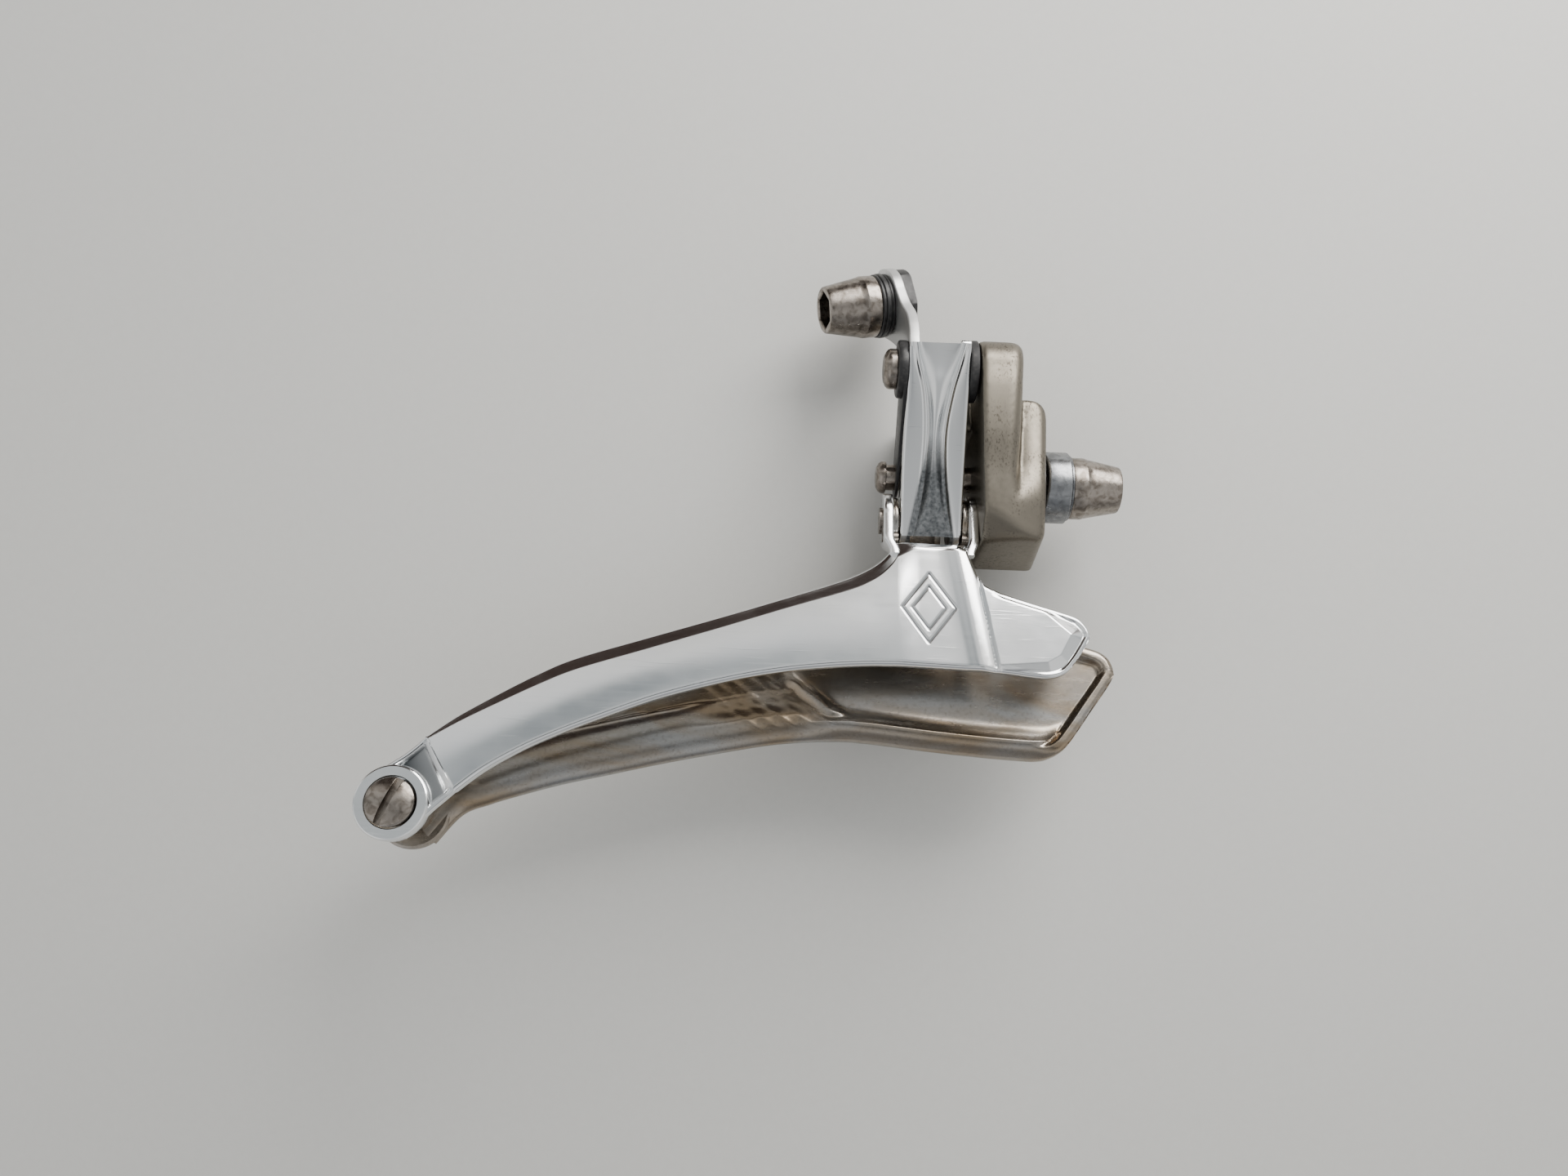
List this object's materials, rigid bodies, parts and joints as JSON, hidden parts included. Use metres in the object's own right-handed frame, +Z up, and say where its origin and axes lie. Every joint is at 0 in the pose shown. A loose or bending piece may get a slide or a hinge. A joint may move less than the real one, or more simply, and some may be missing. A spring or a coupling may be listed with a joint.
{
  "type": "front derailleur",
  "caption": "Bicycle front derailleur: a curved two-plate chain cage hung on parallelogram links from a grey body with a curved seat, cable arm and hexagon socket bolts.",
  "frame": {"origin": "on the mounting bolt's axis, in the plane of the rim of the body's curved seat", "axes": "+X to the front of the bicycle along the mounting bolt, +Y inboard towards the frame, +Z up"},
  "size_m": [0.1085, 0.0298, 0.0907],
  "materials": {
    "grey_alloy": "satin titanium-grey anodised aluminium, worn and speckled",
    "polished_alloy": "polished aluminium with fine scratches",
    "cage_steel": "dull plated steel with brown tarnish",
    "nickel_steel": "warm nickel-plated steel, mottled",
    "washer_steel": "bluish-grey plated steel",
    "black_plate": "black painted steel",
    "black_plastic": "black acetal",
    "bronze": "sintered bronze",
    "spring_wire": "bright spring wire",
    "insert_steel": "plain steel"
  },
  "bodies": {
    "base": {"body": "grey_alloy", "rear_cheek": "black_plate", "outer_pivot_pin": "nickel_steel", "inner_pivot_pin": "nickel_steel", "link_thrust_washer": "black_plastic", "return_spring": "spring_wire", "spring_sleeve": "black_plastic", "thread_insert": "insert_steel", "mounting_washer": "washer_steel"},
    "mounting_bolt_body": {"mounting_bolt": "nickel_steel"},
    "low_screw_body": {"low_limit_screw": "nickel_steel"},
    "high_screw_body": {"high_limit_screw": "nickel_steel"},
    "outer_link_body": {"outer_link": "polished_alloy", "outer_link_bushes": "bronze", "cable_clamp_nut": "black_plate", "cable_clamp_washer": "black_plate"},
    "clamp_bolt_body": {"cable_clamp_bolt": "nickel_steel"},
    "inner_link_body": {"inner_link": "cage_steel", "inner_link_bushes": "bronze"},
    "cage": {"outer_cage_plate": "polished_alloy", "inner_cage_plate": "cage_steel", "outer_cage_pin": "nickel_steel", "inner_cage_pin": "nickel_steel", "cage_rivets": "nickel_steel", "tail_screw": "nickel_steel", "tail_spacer": "cage_steel", "tail_nut": "nickel_steel"}
  },
  "joints": [
    {"name": "outer_link_pivot", "type": "hinge", "parent": "base", "child": "outer_link_body", "pos_m": [-0.018, -0.0093, 0.0143], "axis": [-1, 0, 0], "range_deg": [0, 35], "stiffness_Nm_per_rad": 0.22, "springref_deg": -91.67, "deforming": ["return_spring"]},
    {"name": "inner_link_pivot", "type": "hinge", "parent": "base", "child": "inner_link_body", "pos_m": [-0.018, 0.0022, 0.0016], "axis": [-1, 0, 0], "range_deg": [0, 35]},
    {"name": "cage_pivot", "type": "hinge", "parent": "outer_link_body", "child": "cage", "pos_m": [-0.018, 0.0004, -0.0063], "axis": [-1, 0, 0], "range_deg": [-35, 0]},
    {"name": "mounting_bolt_turn", "type": "hinge", "parent": "base", "child": "mounting_bolt_body", "pos_m": [0, 0, 0], "axis": [1, 0, 0], "continuous": true},
    {"name": "low_screw_turn", "type": "hinge", "parent": "base", "child": "low_screw_body", "pos_m": [-0.0159, 0.0064, 0.01], "axis": [0, 0, 1], "continuous": true},
    {"name": "high_screw_turn", "type": "hinge", "parent": "base", "child": "high_screw_body", "pos_m": [-0.02, -0.0016, 0.01], "axis": [0, 0, 1], "continuous": true},
    {"name": "clamp_bolt_turn", "type": "hinge", "parent": "outer_link_body", "child": "clamp_bolt_body", "pos_m": [-0.0246, -0.005, 0.0276], "axis": [-0.9491, -0.2017, -0.2419], "continuous": true}
  ],
  "couplings": [
    {"joint": "inner_link_pivot", "follows": "outer_link_pivot", "ratio": 1},
    {"joint": "cage_pivot", "follows": "outer_link_pivot", "ratio": -1}
  ]
}
